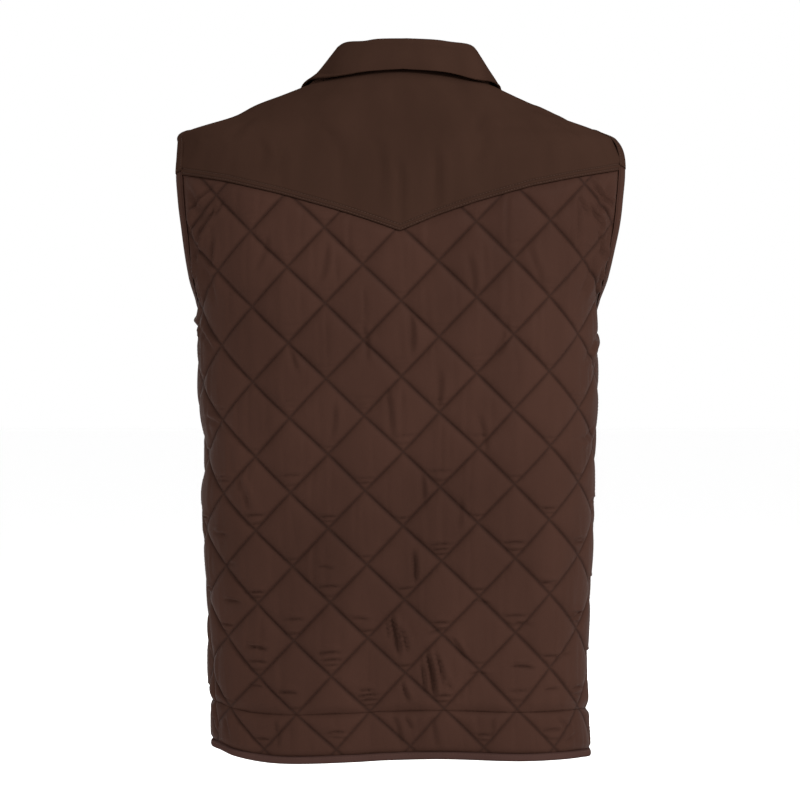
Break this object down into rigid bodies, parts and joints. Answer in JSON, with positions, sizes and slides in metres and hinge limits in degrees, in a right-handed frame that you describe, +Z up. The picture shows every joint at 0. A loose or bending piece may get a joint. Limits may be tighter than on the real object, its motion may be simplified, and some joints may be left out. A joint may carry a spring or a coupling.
{
  "type": "quilted vest",
  "caption": "Sleeveless quilted vest in its worn shape, with a plain pointed back yoke, turned-down collar, quilted hem band and snap front.",
  "frame": {"origin": "on the centre plane, level with the points where the shoulders meet the neck, halfway between the widest parts of the two shoulders", "axes": "+Z up the garment, +Y towards the back, +X towards the wearer's left"},
  "size_m": [0.4403, 0.2746, 0.7113],
  "materials": {
    "quilted_cloth": "smooth, faint sheen",
    "placket_cloth": "smooth, faint sheen",
    "twill": "matt twill",
    "binding_cloth": "matt",
    "snap_metal": "satin, dyed to match"
  },
  "bodies": {
    "root": {"back_body": "quilted_cloth", "front_left": "quilted_cloth", "front_right": "quilted_cloth", "hem_band_back": "quilted_cloth", "hem_band_front_left": "quilted_cloth", "hem_band_front_right": "quilted_cloth", "hem_binding": "binding_cloth", "back_yoke": "twill", "front_yoke_left": "twill", "front_yoke_right": "twill", "collar_stand": "twill", "collar_fall": "twill", "front_placket": "placket_cloth", "snap_1": "snap_metal", "snap_2": "snap_metal", "snap_3": "snap_metal", "snap_4": "snap_metal", "snap_5": "snap_metal", "snap_6": "snap_metal"}
  },
  "joints": []
}
